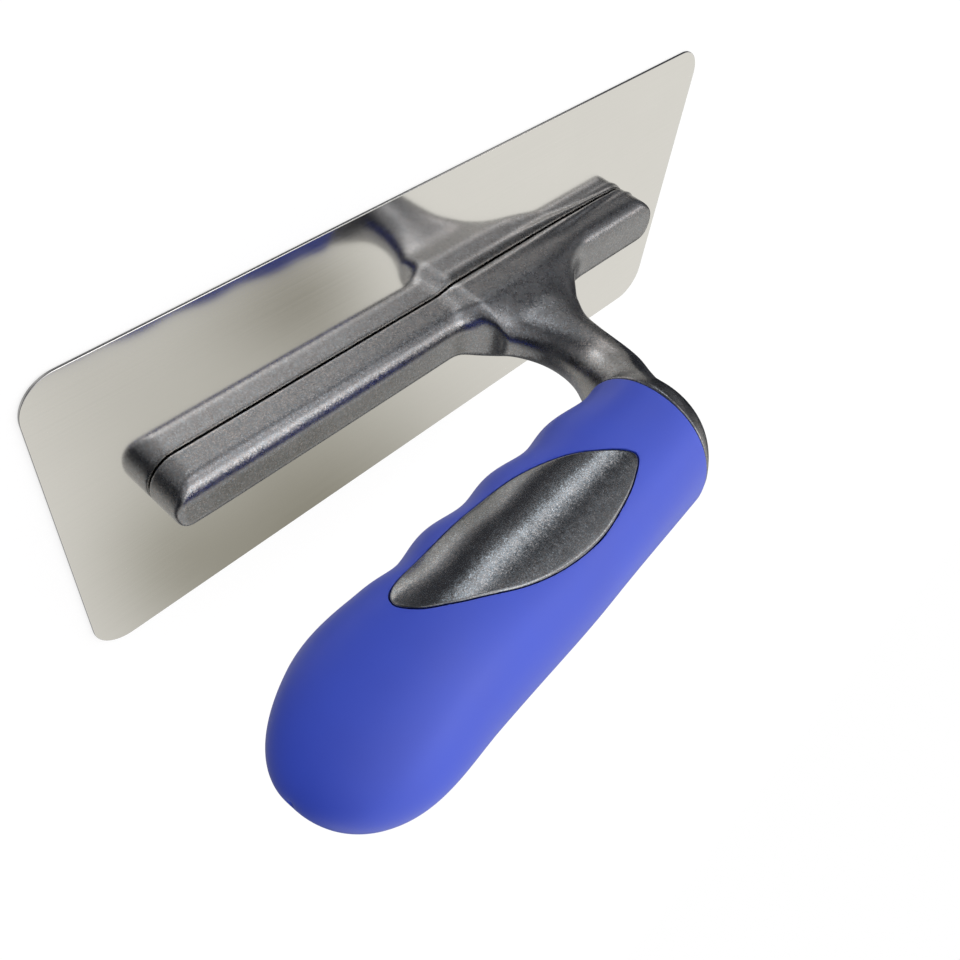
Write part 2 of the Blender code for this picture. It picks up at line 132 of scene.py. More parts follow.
def under_of(s, grooves=True):
    fade = smooth((s + 14) / 10) * smooth((94 - s) / 16)
    wave = FINGER_DEPTH * np.cos(2 * math.pi * (s - FINGER_PHASE) / FINGER_PITCH) * fade
    return (UNDER_START + UNDER_SLOPE * s + UNDER_SWELL * smooth((s - SWELL_FROM) / SWELL_OVER)
            + (wave if grooves else 0.0))


def rounding(s, start, end, p):
    e = np.clip((s - start) / (end - start), 0, 1)
    return (1 - e ** p) ** (1 / p)


def handle_sizes(s, inset=0.0, grooves=True):
    """Above, below and beside the axis: the handle's half sizes at s."""
    end = HANDLE_END_S - inset
    tall = rounding(s, HANDLE_ROUND_S, end, HANDLE_END_POWER)
    wide = rounding(s, SIDE_ROUND_S, end, SIDE_END_POWER)
    return ((top_of(s) - inset) * tall, (under_of(s, grooves) - inset) * tall,
            (side_of(s) - inset) * wide)


def handle_point(s, w, y):
    s, w, y = np.asarray(s, float), np.asarray(w, float), np.asarray(y, float)
    return AXIS_ORIGIN + s[..., None] * AXIS_U + w[..., None] * AXIS_W + y[..., None] * AXIS_Y


def lean(s, w):
    """Slides points along the axis so that the sleeve's toe end stands upright."""
    return w * math.tan(AXIS_TILT) * (1 - smooth((s - JOINT_S) / LEAN_OVER))


def handle_ring(s, inset, count, grooves=True):
    over, under, side = (float(v) for v in handle_sizes(s, inset, grooves))
    a = 2 * math.pi * np.arange(count) / count
    y = side * power(np.sin(a), 2 / SECTION_POWER)
    w = power(np.cos(a), 2 / SECTION_POWER)
    w = np.where(w > 0, w * over, w * under)
    return handle_point(s + lean(s, w), w, y)


def side_y(s, w, inset=0.0, grooves=True):
    """The handle's half width at s and at height w above its axis."""
    over, under, side = handle_sizes(s, inset, grooves)
    k = np.abs(w) / np.where(w > 0, over, under)
    return side * np.clip(1 - k ** SECTION_POWER, 0, 1) ** (1 / SECTION_POWER)


def to_handle(p):
    q = p - AXIS_ORIGIN
    return q @ AXIS_U, q @ AXIS_W, q[..., 1]


def handle_level(s, w, y):
    """Below 1 inside the handle, 1 on its surface, above 1 outside."""
    over, under, side = handle_sizes(s)
    k = np.abs(w) / np.maximum(np.where(w > 0, over, under), 1e-3)
    j = np.abs(y) / np.maximum(side, 1e-3)
    return (k ** SECTION_POWER + j ** SECTION_POWER) ** (1 / SECTION_POWER)


def handle_normal(p):
    """Outward normal of the handle's form at points p (mm)."""
    e = 0.02
    g = np.zeros_like(p)
    for i in range(3):
        d = np.zeros(3)
        d[i] = e
        g[:, i] = handle_level(*to_handle(p + d)) - handle_level(*to_handle(p - d))
    n = np.linalg.norm(g, axis=1, keepdims=True)
    s = to_handle(p)[0]
    flat = (n[:, 0] < 1e-9) | (s > HANDLE_END_S - 0.35)
    g = np.where(flat[:, None], AXIS_U, g / np.maximum(n, 1e-9))
    return g


def closed_curve(points, per_span):
    out, n = [], len(points)
    for i in range(n):
        p0, p1, p2, p3 = (np.array(points[(i + k) % n], float) for k in (-1, 0, 1, 2))
        for j in range(per_span):
            t = j / per_span
            out.append(0.5 * (2 * p1 + (p2 - p0) * t + (2 * p0 - 5 * p1 + 4 * p2 - p3) * t * t
                              + (3 * p1 - p0 - 3 * p2 + p3) * t ** 3))
    return np.array(out)


def inset_outline(points, amount):
    nxt, prv = np.roll(points, -1, 0), np.roll(points, 1, 0)
    area = np.sum(points[:, 0] * nxt[:, 1] - nxt[:, 0] * points[:, 1])
    t = nxt - prv
    t /= np.linalg.norm(t, axis=1, keepdims=True)
    normal = np.stack([-t[:, 1], t[:, 0]], 1) * (1 if area > 0 else -1)
    return points + normal * amount


def make_mesh(name, verts, faces, mat, smooth_shade=True):
    """verts in mm."""
    mesh = bpy.data.meshes.new(name)
    mesh.from_pydata((np.asarray(verts, float) * MM).tolist(), [], faces)
    mesh.update()
    mesh.materials.append(mat)
    if smooth_shade:
        mesh.shade_smooth()
    obj = bpy.data.objects.new(name, mesh)
    bpy.context.scene.collection.objects.link(obj)
    return obj


def tube_faces(rows, around, close_start=False, close_end=False):
    faces = []
    for r in range(rows - 1):
        a, b = r * around, (r + 1) * around
        for i in range(around):
            j = (i + 1) % around
            faces.append((a + i, a + j, b + j, b + i))
    if close_start:
        faces.append(tuple(range(around - 1, -1, -1)))
    if close_end:
        faces.append(tuple(range((rows - 1) * around, rows * around)))
    return faces


def fix_normals(obj):
    bm = bmesh.new()
    bm.from_mesh(obj.data)
    bmesh.ops.recalc_face_normals(bm, faces=bm.faces)
    bm.to_mesh(obj.data)
    bm.free()
    return obj


# ------------------------------------------------------------------ materials
class Nodes:
    """Small helper for building a node tree."""

    def __init__(self, tree):
        self.tree = tree
        self.n = tree.nodes
        self.l = tree.links

    def add(self, kind, inputs=None, **props):
        node = self.n.new(kind)
        for k, v in props.items():
            setattr(node, k, v)
        for k, v in (inputs or {}).items():
            sock = node.inputs[k]
            if isinstance(v, bpy.types.NodeSocket):
                self.l.new(v, sock)
            else:
                sock.default_value = v
        return node

    def math(self, op, a, b=0.0, c=None, clamp=False):
        ins = {0: a, 1: b}
        if c is not None:
            ins[2] = c
        return self.add("ShaderNodeMath", ins, operation=op, use_clamp=clamp).outputs[0]

    def vec(self, op, a, b=(0, 0, 0)):
        node = self.add("ShaderNodeVectorMath", {0: a, 1: b}, operation=op)
        return node.outputs["Value"] if op in ("DOT_PRODUCT", "LENGTH") else node.outputs[0]

    def scale(self, v, k):
        node = self.add("ShaderNodeVectorMath", {0: v, "Scale": k}, operation="SCALE")
        return node.outputs[0]

    def ramp(self, fac, stops, interpolation="LINEAR"):
        node = self.add("ShaderNodeValToRGB", {0: fac})
        ramp = node.color_ramp
        ramp.interpolation = interpolation
        while len(ramp.elements) < len(stops):
            ramp.elements.new(0.5)
        for e, (pos, col) in zip(ramp.elements, stops):
            e.position = pos
            e.color = (*col, 1.0) if len(col) == 3 else col
        return node.outputs[0]

    def range(self, v, a, b, c, d):
        return self.add("ShaderNodeMapRange", {0: v, 1: a, 2: b, 3: c, 4: d}).outputs[0]


def new_material(name):
    mat = bpy.data.materials.new(name)
    mat.use_nodes = True
    mat.node_tree.nodes.clear()
    g = Nodes(mat.node_tree)
    out = g.add("ShaderNodeOutputMaterial")
    bsdf = g.add("ShaderNodeBsdfPrincipled")
    g.l.new(bsdf.outputs[0], out.inputs[0])
    return mat, g, bsdf


def put(g, bsdf, **ins):
    for k, v in ins.items():
        sock = bsdf.inputs[k.replace("_", " ")]
        if isinstance(v, bpy.types.NodeSocket):
            g.l.new(v, sock)
        else:
            sock.default_value = v


def gunmetal(name, base=(0.105, 0.108, 0.115), rough=0.36, flake=0.16, grain_mm=0.30):
    """Cast part under a satin gunmetal coat: dark metallic, full of fine bright flakes."""
    mat, g, bsdf = new_material(name)
    pos = g.add("ShaderNodeTexCoord").outputs["Object"]
    normal = g.add("ShaderNodeNewGeometry").outputs["Normal"]
    cell = g.add("ShaderNodeTexVoronoi", {"Vector": pos, "Scale": 1000.0 / grain_mm},
                 voronoi_dimensions="3D", feature="F1")
    rand = cell.outputs["Color"]
    sep = g.add("ShaderNodeSeparateColor", {0: rand})
    # each flake lies at its own slight tilt
    tilt = g.scale(g.vec("SUBTRACT", rand, (0.5, 0.5, 0.5)), flake)
    coarse = g.add("ShaderNodeTexNoise", {"Vector": pos, "Scale": 420.0, "Detail": 3.0, "Roughness": 0.6})
    wide = g.add("ShaderNodeTexNoise", {"Vector": pos, "Scale": 60.0, "Detail": 2.0})
    bump = g.add("ShaderNodeBump", {"Strength": 0.10, "Distance": 0.0004, "Height": coarse.outputs[0]})
    put(g, bsdf, Normal=g.vec("NORMALIZE", g.vec("ADD", bump.outputs[0], tilt)))
    bright = g.math("POWER", sep.outputs[1], 3.0)
    value = g.math("MULTIPLY_ADD", bright, 0.55, 0.86)
    value = g.math("MULTIPLY", value, g.range(wide.outputs[0], 0.3, 0.7, 0.93, 1.07))
    tint = g.ramp(sep.outputs[2], [(0.0, (base[0] * 1.10, base[1] * 1.0, base[2] * 0.95)),
                                   (1.0, (base[0] * 0.92, base[1] * 1.0, base[2] * 1.06))])
    put(g, bsdf, Base_Color=g.scale(tint, value), Metallic=1.0,
        Roughness=g.range(coarse.outputs[0], 0.3, 0.7, rough - 0.03, rough + 0.05))
    return mat


def rubber_material():
    """Soft-touch blue: matte, with the finest of grain."""
    mat, g, bsdf = new_material("soft_blue_rubber")
    pos = g.add("ShaderNodeTexCoord").outputs["Object"]
    fine = g.add("ShaderNodeTexNoise", {"Vector": pos, "Scale": 3200.0, "Detail": 2.0})
    wide = g.add("ShaderNodeTexNoise", {"Vector": pos, "Scale": 45.0, "Detail": 3.0, "Roughness": 0.5})
    colour = g.ramp(g.range(wide.outputs[0], 0.3, 0.7, 0.0, 1.0),
                    [(0.0, (0.008, 0.051, 0.62)), (1.0, (0.010, 0.059, 0.67))])
    bump = g.add("ShaderNodeBump", {"Strength": 0.12, "Distance": 0.00006, "Height": fine.outputs[0]})
    put(g, bsdf, Base_Color=colour, Normal=bump.outputs[0],
        Roughness=g.range(wide.outputs[0], 0.3, 0.7, 0.52, 0.60))
    bsdf.inputs["IOR"].default_value = 1.5
    bsdf.inputs["Specular IOR Level"].default_value = 0.9
    bsdf.inputs["Coat Weight"].default_value = 0.45
    bsdf.inputs["Coat Roughness"].default_value = 0.45
    bsdf.inputs["Sheen Weight"].default_value = 0.12
    bsdf.inputs["Sheen Roughness"].default_value = 0.5
    bsdf.inputs["Sheen Tint"].default_value = (0.6, 0.68, 1.0, 1.0)
    return mat


def steel_material(name="polished_stainless", rough=0.085, base=(0.80, 0.79, 0.765), lines=1.0):
    """Stainless plate: mirror polish over hairlines that run along the blade."""
    mat, g, bsdf = new_material(name)
    pos = g.add("ShaderNodeTexCoord").outputs["Object"]
    along = g.add("ShaderNodeMapping", {"Vector": pos, "Scale": (12.0, 2600.0, 2600.0)}).outputs[0]
    hair = g.add("ShaderNodeTexNoise", {"Vector": along, "Scale": 1.0, "Detail": 3.0, "Roughness": 0.65})
    cloud = g.add("ShaderNodeTexNoise", {"Vector": pos, "Scale": 22.0, "Detail": 4.0, "Roughness": 0.55})
    bump = g.add("ShaderNodeBump", {"Strength": 0.02 * lines, "Distance": 0.00002, "Height": hair.outputs[0]})
    k = g.range(hair.outputs[0], 0.3, 0.7, 0.985, 1.01)
    k = g.math("MULTIPLY", k, g.range(cloud.outputs[0], 0.3, 0.7, 0.985, 1.01))
    put(g, bsdf, Base_Color=g.scale(base, k), Metallic=1.0, Normal=bump.outputs[0],
        Roughness=g.math("MULTIPLY_ADD", g.range(hair.outputs[0], 0.3, 0.7, -0.012, 0.016), 1.0,
                         g.range(cloud.outputs[0], 0.3, 0.7, rough - 0.01, rough + 0.015)))
    bsdf.inputs["Anisotropic"].default_value = 0.25
    return mat


def plastic_material():
    mat, g, bsdf = new_material("black_core_plastic")
    pos = g.add("ShaderNodeTexCoord").outputs["Object"]
    n = g.add("ShaderNodeTexNoise", {"Vector": pos, "Scale": 900.0, "Detail": 3.0})
    bump = g.add("ShaderNodeBump", {"Strength": 0.2, "Distance": 0.0001, "Height": n.outputs[0]})
    put(g, bsdf, Base_Color=g.ramp(n.outputs[0], [(0.3, (0.022, 0.022, 0.025)), (0.7, (0.034, 0.034, 0.038))]),
        Roughness=g.range(n.outputs[0], 0.3, 0.7, 0.42, 0.55), Normal=bump.outputs[0])
    return mat


def zinc_material():
    mat, g, bsdf = new_material("bright_zinc")
    pos = g.add("ShaderNodeTexCoord").outputs["Object"]
    n = g.add("ShaderNodeTexNoise", {"Vector": pos, "Scale": 700.0, "Detail": 4.0})
    bump = g.add("ShaderNodeBump", {"Strength": 0.1, "Distance": 0.00005, "Height": n.outputs[0]})
    put(g, bsdf, Base_Color=g.ramp(n.outputs[0], [(0.3, (0.56, 0.56, 0.53)), (0.7, (0.66, 0.66, 0.65))]),
        Metallic=1.0, Roughness=g.range(n.outputs[0], 0.3, 0.7, 0.24, 0.36), Normal=bump.outputs[0])
    return mat


casting = gunmetal("gunmetal_casting", base=(0.270, 0.272, 0.280), rough=0.27, flake=0.10)
inlay_coat = gunmetal("gunmetal_inlay", base=(0.262, 0.270, 0.280), rough=0.19, flake=0.065, grain_mm=0.24)
rubber = rubber_material()
steel = steel_material()
stud_steel = steel_material("plain_stainless", rough=0.32, base=(0.55, 0.55, 0.54), lines=6.0)
plastic = plastic_material()
zinc = zinc_material()


# ------------------------------------------------------------------ blade
def build_blade():
    turns, edge = 18, 0.16

    def outline(inset):
        pts, r = [], BLADE_CORNER_R
        for cx, cy, start in ((1, 1, 0), (-1, 1, 90), (-1, -1, 180), (1, -1, 270)):
            for i in range(turns + 1):
                a = math.radians(start + 90 * i / turns)
                pts.append((cx * (BLADE_L / 2 - r) + (r - inset) * math.cos(a),
                            cy * (BLADE_W / 2 - r) + (r - inset) * math.sin(a)))
        return pts

    rows = [(edge, 0.0)]
    for i in range(1, 4):
        a = 0.5 * math.pi * i / 3
        rows.append((edge * (1 - math.sin(a)), edge * (1 - math.cos(a))))
    for i in range(4):
        a = 0.5 * math.pi * i / 3
        rows.append((edge * (1 - math.cos(a)), BLADE_T - edge * (1 - math.sin(a))))
    verts, count = [], 4 * (turns + 1)
    for inset, z in rows:
        verts += [(x, y, z) for x, y in outline(inset)]
    obj = make_mesh("blade_plate", verts, tube_faces(len(rows), count, True, True), steel)
    fix_normals(obj)
    # the two flat faces are optically flat right up to their ground edges
    mesh = obj.data
    ring = 4 * (turns + 1)
    normals = np.zeros((len(mesh.loops), 3))
    for p in mesh.polygons:
        for i in range(p.loop_start, p.loop_start + p.loop_total):
            v = mesh.loops[i].vertex_index
            if len(p.vertices) > 4 or v < ring or v >= ring * (len(rows) - 1):
                normals[i] = (0, 0, 1 if v >= 4 * ring else -1)
            else:
                normals[i] = mesh.vertices[v].normal
    mesh.normals_split_custom_set(normals.tolist())
    return obj


# ------------------------------------------------------------------ shank
def catmull(rows, t):
    """Rows of numbers, read smoothly at parameters t (0 .. len-1)."""
    rows = np.asarray(rows, float)
    n = len(rows)
    i = np.clip(np.floor(t).astype(int), 0, n - 2)
    f = (t - i)[:, None]
    p0, p1 = rows[np.clip(i - 1, 0, n - 1)], rows[i]
    p2, p3 = rows[i + 1], rows[np.clip(i + 2, 0, n - 1)]
    return 0.5 * (2 * p1 + (p2 - p0) * f + (2 * p0 - 5 * p1 + 4 * p2 - p3) * f ** 2
                  + (3 * p1 - p0 - 3 * p2 + p3) * f ** 3)


def neck_rows():
    rows = [(-24.0, -8.0, 64.0, -8.0, 3.0, 4.0), (-25.0, 0.0, 65.0, 0.0, 5.0, 4.0)]
    rows += [(i[0], i[1], o[0], o[1], h, q) for i, o, h, q in NECK]
    for s in (JOINT_S - GAP, 4.0, 9.0, 16.0):
        over, under, side = (float(v) for v in handle_sizes(s))
        o = AXIS_ORIGIN + AXIS_U * (s + lean(s, over)) + AXIS_W * over
        i = AXIS_ORIGIN + AXIS_U * (s + lean(s, -under)) - AXIS_W * under
        rows.append((i[0], i[2] - BLADE_T, o[0], o[2] - BLADE_T, side, SECTION_POWER))
    return rows


def round_max(a, b, r):
    """Intersection of two bodies with a rounded edge."""
    qa, qb = a + r, b + r
    return np.minimum(np.maximum(qa, qb), 0) + np.hypot(np.maximum(qa, 0), np.maximum(qb, 0)) - r


def smooth_min(a, b, k):
    h = np.clip(k - np.abs(a - b), 0, None) / k
    return np.minimum(a, b) - h * h * k * 0.25


def neck_field(X, Z, ys, pitch):
    """Distance-like field of the neck on the grid X, Z (2D, mm) by ys."""
    rows = neck_rows()
    t = np.linspace(0, len(rows) - 1, 700)
    r = catmull(rows, t)
    cx, cz = (r[:, 0] + r[:, 2]) / 2, (r[:, 1] + r[:, 3]) / 2 + BLADE_T
    hx, hz = (r[:, 2] - r[:, 0]) / 2, (r[:, 3] - r[:, 1]) / 2
    px, pz = X.ravel(), Z.ravel()
    best_u = np.full(px.shape, 1e3)
    best_t = np.zeros(px.shape)
    prev = None
    for k in range(len(t)):
        cross = hx[k] * (pz - cz[k]) - hz[k] * (px - cx[k])
        if prev is not None:
            hit = np.where((prev > 0) != (cross > 0))[0]
            if len(hit):
                f = prev[hit] / (prev[hit] - cross[hit])
                tk = k - 1 + f
                a = [np.interp(tk, (k - 1, k), v[k - 1:k + 1]) for v in (cx, cz, hx, hz)]
                u = ((px[hit] - a[0]) * a[2] + (pz[hit] - a[1]) * a[3]) / (a[2] ** 2 + a[3] ** 2)
                better = np.abs(u) < np.abs(best_u[hit])
                best_u[hit[better]] = u[better]
                best_t[hit[better]] = tk[better]
        prev = cross
    ok = np.abs(best_u) < 100
    half = np.interp(best_t, np.arange(len(t)), r[:, 4]).reshape(X.shape)
    sq = np.interp(best_t, np.arange(len(t)), r[:, 5]).reshape(X.shape)
    u = np.clip(np.abs(best_u), 0, 6).reshape(X.shape)
    ok = ok.reshape(X.shape)
    F = (u[:, None, :] ** sq[:, None, :]
         + (np.abs(ys)[None, :, None] / half[:, None, :]) ** sq[:, None, :]) ** (1 / sq[:, None, :]) - 1
    gx, gy, gz = np.gradient(F, pitch)
    slope = np.sqrt(gx * gx + gy * gy + gz * gz)
    out = F / np.clip(slope, 0.02, None)
    out = np.clip(out, -12, 12)
    out[np.broadcast_to(~ok[:, None, :], out.shape)] = 12
    return out


def shank_field(pitch):
    xs = np.arange(-104.0, 101.0 + pitch, pitch)
    ys = np.arange(-22.5, 22.5 + pitch, pitch)
    zs = np.arange(-0.6, 98.5 + pitch, pitch)
    X2, Z2 = np.meshgrid(xs, zs, indexing="ij")
    x, y, z = xs[:, None, None], ys[None, :, None], zs[None, None, :]
    # foot bar
    half = (FOOT_HALF_W_BUTT + (FOOT_HALF_W_TOE - FOOT_HALF_W_BUTT)
            * smooth((xs - FOOT_WIDENS_FROM) / FOOT_WIDENS_OVER))[:, None]
    yy = np.abs(ys)[None, :]
    xa, xb = FOOT_BUTT_X + FOOT_HALF_W_BUTT, FOOT_TOE_X - FOOT_HALF_W_TOE
    top = zs[None, :] - foot_top(xs)[:, None] - BLADE_T
    foot = round_max((yy - half)[:, :, None] + 0 * z, top[:, None, :], FOOT_EDGE_R)
    ends = np.where(xs[:, None] < xa, np.hypot(xs[:, None] - xa, yy) - FOOT_HALF_W_BUTT,
                    np.where(xs[:, None] > xb, np.hypot(xs[:, None] - xb, yy) - FOOT_HALF_W_TOE, -30.0))
    end_r = FOOT_END_R * np.clip(1 - (yy / half) ** 4, 0.02, 1)
    foot = round_max(foot, ends[:, :, None], end_r[:, :, None])
    # neck and cap, cut upright where the grip begins
    neck = neck_field(X2, Z2, ys, pitch)
    s_of = ((X2 - AXIS_ORIGIN[0]) * AXIS_U[0] + (Z2 - AXIS_ORIGIN[2]) * AXIS_U[2])
    w_of = ((X2 - AXIS_ORIGIN[0]) * AXIS_W[0] + (Z2 - AXIS_ORIGIN[2]) * AXIS_W[2])
    cap_x = AXIS_ORIGIN[0] + AXIS_U[0] * (JOINT_S - GAP)
    neck = round_max(neck, (cap_x - X2)[:, None, :], 0.6)
    body = smooth_min(foot, neck, FILLET_LOW + (FILLET_HIGH - FILLET_LOW) * smooth((z - 7.0) / 6.0))
    body = round_max(body, FOOT_Z0 - z + 0 * body, 0.35)
    # tang
    s3, w3, a3 = s_of[:, None, :], np.abs(w_of)[:, None, :], np.abs(ys)[None, :, None]
    tang = np.maximum(np.maximum(a3 - TANG_HALF_W, w3 - TANG_HALF_H),
                      (a3 + w3 - (TANG_HALF_W + TANG_HALF_H - 2.0)) * 0.7071)
    tang = np.maximum(tang, np.maximum(s3 - TANG_END_S, -6.0 - s3))
    body = np.minimum(body, tang)
    # sockets over the studs, and the tang's bore
    for k in range(STUD_COUNT):
        sx = STUD_FIRST_X + (STUD_LAST_X - STUD_FIRST_X) * k / (STUD_COUNT - 1)
        hole = np.maximum(np.hypot(x - sx, y) - (STUD_R + GAP), z - (FOOT_Z0 + STUD_H + GAP))
        body = np.maximum(body, -hole)
    seat = HANDLE_END_S - GRIP_WALL - GAP - 4.5
    tip = seat + 2 * GAP + WASHER_T - SCREW_LEN
    bore = np.maximum(np.hypot(y, w_of[:, None, :]) - (SCREW_R + GAP), (tip - 1.0) - s3)
    body = np.maximum(body, -bore)
    return body, np.array([xs[0], ys[0], zs[0]]), pitch


def surface_nets(f, org, h):
    inside = f < 0
    total = np.zeros(tuple(n - 1 for n in f.shape), np.int8)
    for i in (0, 1):
        for j in (0, 1):
            for k in (0, 1):
                total += inside[i:f.shape[0] - 1 + i, j:f.shape[1] - 1 + j, k:f.shape[2] - 1 + k]
    mixed = (total > 0) & (total < 8)
    cells = np.argwhere(mixed)
    index = np.full(total.shape, -1, np.int64)
    index[mixed] = np.arange(len(cells))
    acc, cnt = np.zeros((len(cells), 3)), np.zeros(len(cells))
    corners = [(i, j, k) for i in (0, 1) for j in (0, 1) for k in (0, 1)]
    val = {c: f[cells[:, 0] + c[0], cells[:, 1] + c[1], cells[:, 2] + c[2]] for c in corners}
    for a in corners:
        for axis in range(3):
            if a[axis]:
                continue
            b = tuple(a[i] + (i == axis) for i in range(3))
            fa, fb = val[a], val[b]
            m = (fa < 0) != (fb < 0)
            u = fa[m] / (fa[m] - fb[m])
            p = np.tile(np.array(a, float), (m.sum(), 1))
            p[:, axis] += u
            acc[m] += p
            cnt[m] += 1
    verts = org + h * (cells + acc / cnt[:, None])
    quads = []
    for axis in range(3):
        b, c = (axis + 1) % 3, (axis + 2) % 3
        lo = [slice(None)] * 3
        hi = [slice(None)] * 3
        lo[axis], hi[axis] = slice(0, -1), slice(1, None)
        for d in (b, c):
            lo[d] = hi[d] = slice(1, -1)
        fa, fb = inside[tuple(lo)], inside[tuple(hi)]
        for flip, m in ((False, fa & ~fb), (True, ~fa & fb)):
            at = np.argwhere(m)
            at[:, b] += 1
            at[:, c] += 1
            q = []
            for db, dc in ((0, 0), (1, 0), (1, 1), (0, 1)):
                cell = at.copy()
                cell[:, b] -= 1 - db
                cell[:, c] -= 1 - dc
                q.append(index[cell[:, 0], cell[:, 1], cell[:, 2]])
            q = np.stack(q, 1)
            quads.append(q[:, ::-1] if flip else q)
    return verts, np.concatenate(quads)


def sample(f, org, h, p):
    g = (p - org) / h
    i = np.clip(np.floor(g).astype(int), 0, np.array(f.shape) - 2)
    t = g - i
    out = np.zeros(len(p))
    for a in (0, 1):
        for b in (0, 1):
            for c in (0, 1):
                wgt = (t[:, 0] if a else 1 - t[:, 0]) * (t[:, 1] if b else 1 - t[:, 1]) * (t[:, 2] if c else 1 - t[:, 2])
                out += wgt * f[i[:, 0] + a, i[:, 1] + b, i[:, 2] + c]
    return out


def field_gradient(f, org, h, p, e):
    g = np.zeros_like(p)
    for k in range(3):
        d = np.zeros(3)
        d[k] = e
        g[:, k] = (sample(f, org, h, p + d) - sample(f, org, h, p - d)) / (2 * e)
    return g


def relax(verts, quads, f, org, h, rounds):
    edges = np.concatenate([quads[:, [0, 1]], quads[:, [1, 2]], quads[:, [2, 3]], quads[:, [3, 0]]])
    count = np.zeros(len(verts))
    np.add.at(count, edges[:, 0], 1)
    np.add.at(count, edges[:, 1], 1)
    for r in range(rounds):
        mean = np.zeros_like(verts)
        np.add.at(mean, edges[:, 0], verts[edges[:, 1]])
        np.add.at(mean, edges[:, 1], verts[edges[:, 0]])
        verts = verts + 0.5 * (mean / count[:, None] - verts)
        for _ in range(2):
            d = sample(f, org, h, verts)
            g = field_gradient(f, org, h, verts, h * 0.6)
            g2 = np.clip((g * g).sum(1), 0.15, None)
            step = (d / g2)[:, None] * g
            size = np.linalg.norm(step, axis=1, keepdims=True)
            verts = verts - step * np.minimum(1, 0.4 * h / np.maximum(size, 1e-9))
    return verts


def build_shank():
    f, org, h = shank_field(0.55)
    verts, quads = surface_nets(f, org, h)
    verts = relax(verts, quads, f, org, h, 4)
    verts[:, 2] = np.maximum(verts[:, 2], FOOT_Z0)
    obj = make_mesh("shank_casting", verts, quads.tolist(), casting)
    # shading that follows the true form where it is smooth
    n = field_gradient(f, org, h, verts, h * 0.9)
    n /= np.maximum(np.linalg.norm(n, axis=1, keepdims=True), 1e-9)
    obj.data.normals_split_custom_set_from_vertices(n.tolist())
    return obj


# ------------------------------------------------------------------ grip
def leaf_outline(amount, per_span=10):
    return inset_outline(closed_curve(LEAF, per_span), amount)


def handle_rows(inset, s_from, straight, curved, around, grooves=True):
    end = HANDLE_END_S - inset
    rows = [handle_ring(s_from + (HANDLE_ROUND_S - s_from) * i / straight, inset, around, grooves)
            for i in range(straight)]
    for i in range(curved):
        turn = 0.5 * math.pi * (i / curved) * 0.996
        s = HANDLE_ROUND_S + (end - HANDLE_ROUND_S) * math.sin(turn) ** (2 / HANDLE_END_POWER)
        rows.append(handle_ring(s, inset, around, grooves))
    return rows


def gate_mark(p):
    """Depth of the small moulding dimple on the axis at the butt."""
    s, w, y = to_handle(p)
    r = np.hypot(w, y)
    d = 0.55 * np.exp(-(r / 0.75) ** 4) + 0.18 * np.exp(-(r / 2.2) ** 2)
    return np.where(s > HANDLE_END_S - 8, d, 0.0)


